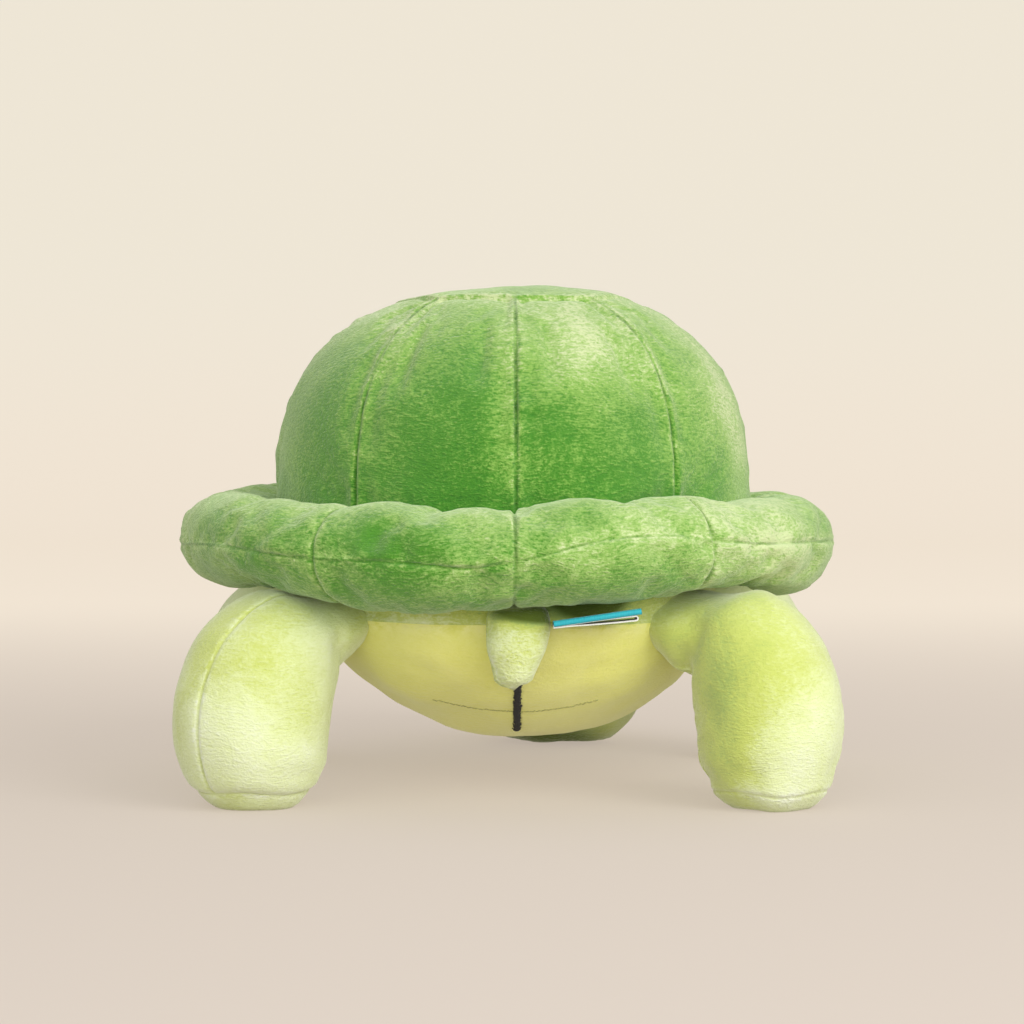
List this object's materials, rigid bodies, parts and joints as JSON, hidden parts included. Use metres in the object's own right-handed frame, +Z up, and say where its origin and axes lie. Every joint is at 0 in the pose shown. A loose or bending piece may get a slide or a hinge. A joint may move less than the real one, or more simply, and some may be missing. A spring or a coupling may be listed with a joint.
{
  "type": "plush turtle",
  "caption": "Plush turtle on four legs: green gored dome shell with a puffed brim, pale green legs, tail and lowered turned head, yellow belly, folded ribbon label",
  "frame": {"origin": "on the floor, under the middle of the toy's bounding box", "axes": "+Z up, +Y the way the head points, +X the toy's right hand side seen from behind"},
  "size_m": [0.3258, 0.3875, 0.2405],
  "materials": {
    "shell_green_plush": "short velour pile",
    "brim_green_plush": "short velour pile",
    "pale_green_plush": "short velour pile",
    "belly_yellow_plush": "short velour pile",
    "lining_cloth": "plain woven",
    "stuffing": "polyester fibre fill",
    "eye_black": "polished",
    "washer_plastic": "moulded",
    "black_thread": "satin stitch",
    "label_teal": "woven ribbon",
    "label_white": "satin ribbon"
  },
  "bodies": {
    "body": {"belly_line_stitching": "black_thread", "belly_panel": "belly_yellow_plush", "body_band": "pale_green_plush", "body_stuffing": "stuffing", "brim_lower_1": "brim_green_plush", "brim_lower_2": "brim_green_plush", "brim_lower_3": "brim_green_plush", "brim_lower_4": "brim_green_plush", "brim_lower_5": "brim_green_plush", "brim_lower_6": "brim_green_plush", "brim_lower_7": "brim_green_plush", "brim_lower_8": "brim_green_plush", "brim_stuffing": "stuffing", "brim_upper_1": "brim_green_plush", "brim_upper_2": "brim_green_plush", "brim_upper_3": "brim_green_plush", "brim_upper_4": "brim_green_plush", "brim_upper_5": "brim_green_plush", "brim_upper_6": "brim_green_plush", "brim_upper_7": "brim_green_plush", "brim_upper_8": "brim_green_plush", "label_inner_ribbon": "label_white", "label_ribbon": "label_teal", "shell_base_lining": "lining_cloth", "shell_crown_panel": "shell_green_plush", "shell_gore_1": "shell_green_plush", "shell_gore_2": "shell_green_plush", "shell_gore_3": "shell_green_plush", "shell_gore_4": "shell_green_plush", "shell_gore_5": "shell_green_plush", "shell_gore_6": "shell_green_plush", "shell_gore_7": "shell_green_plush", "shell_gore_8": "shell_green_plush", "shell_stuffing": "stuffing"},
    "hind_left_leg": {"hind_left_leg_front_panel": "pale_green_plush", "hind_left_leg_rear_panel": "pale_green_plush", "hind_left_leg_sole": "pale_green_plush", "hind_left_leg_stuffing": "stuffing"},
    "hind_right_leg": {"hind_right_leg_front_panel": "pale_green_plush", "hind_right_leg_rear_panel": "pale_green_plush", "hind_right_leg_sole": "pale_green_plush", "hind_right_leg_stuffing": "stuffing"},
    "front_left_leg": {"front_left_leg_front_panel": "pale_green_plush", "front_left_leg_rear_panel": "pale_green_plush", "front_left_leg_sole": "pale_green_plush", "front_left_leg_stuffing": "stuffing"},
    "front_right_leg": {"front_right_leg_front_panel": "pale_green_plush", "front_right_leg_rear_panel": "pale_green_plush", "front_right_leg_sole": "pale_green_plush", "front_right_leg_stuffing": "stuffing"},
    "head": {"head_left_panel": "pale_green_plush", "head_right_panel": "pale_green_plush", "head_stuffing": "stuffing", "left_eye": "eye_black", "left_eye_washer": "washer_plastic", "mouth_stitching": "black_thread", "right_eye": "eye_black", "right_eye_washer": "washer_plastic"},
    "tail": {"tail_cover": "pale_green_plush", "tail_stuffing": "stuffing"}
  },
  "joints": [
    {"name": "hind_left_leg_swing", "type": "hinge", "parent": "body", "child": "hind_left_leg", "pos_m": [-0.0789, -0.10621, 0.07605], "axis": [0.8486, 0.529, 0], "range_deg": [-15, 15], "stiffness_Nm_per_rad": 0.8},
    {"name": "hind_right_leg_swing", "type": "hinge", "parent": "body", "child": "hind_right_leg", "pos_m": [0.0789, -0.10621, 0.07605], "axis": [0.8486, -0.529, 0], "range_deg": [-15, 15], "stiffness_Nm_per_rad": 0.8},
    {"name": "front_left_leg_swing", "type": "hinge", "parent": "body", "child": "front_left_leg", "pos_m": [-0.08279, 0.02495, 0.08154], "axis": [0.8604, -0.5096, 0], "range_deg": [-15, 15], "stiffness_Nm_per_rad": 0.8},
    {"name": "front_right_leg_swing", "type": "hinge", "parent": "body", "child": "front_right_leg", "pos_m": [0.08279, 0.02495, 0.08154], "axis": [0.8604, 0.5096, 0], "range_deg": [-15, 15], "stiffness_Nm_per_rad": 0.8},
    {"name": "head_turn", "type": "hinge", "parent": "body", "child": "head", "pos_m": [0.002, 0.08784, 0.05847], "axis": [0, 0, 1], "range_deg": [-8, 28], "stiffness_Nm_per_rad": 0.8},
    {"name": "tail_wag", "type": "hinge", "parent": "body", "child": "tail", "pos_m": [0.002, -0.15495, 0.0755], "axis": [0, 1, 0], "range_deg": [-15, 15], "stiffness_Nm_per_rad": 0.002}
  ]
}
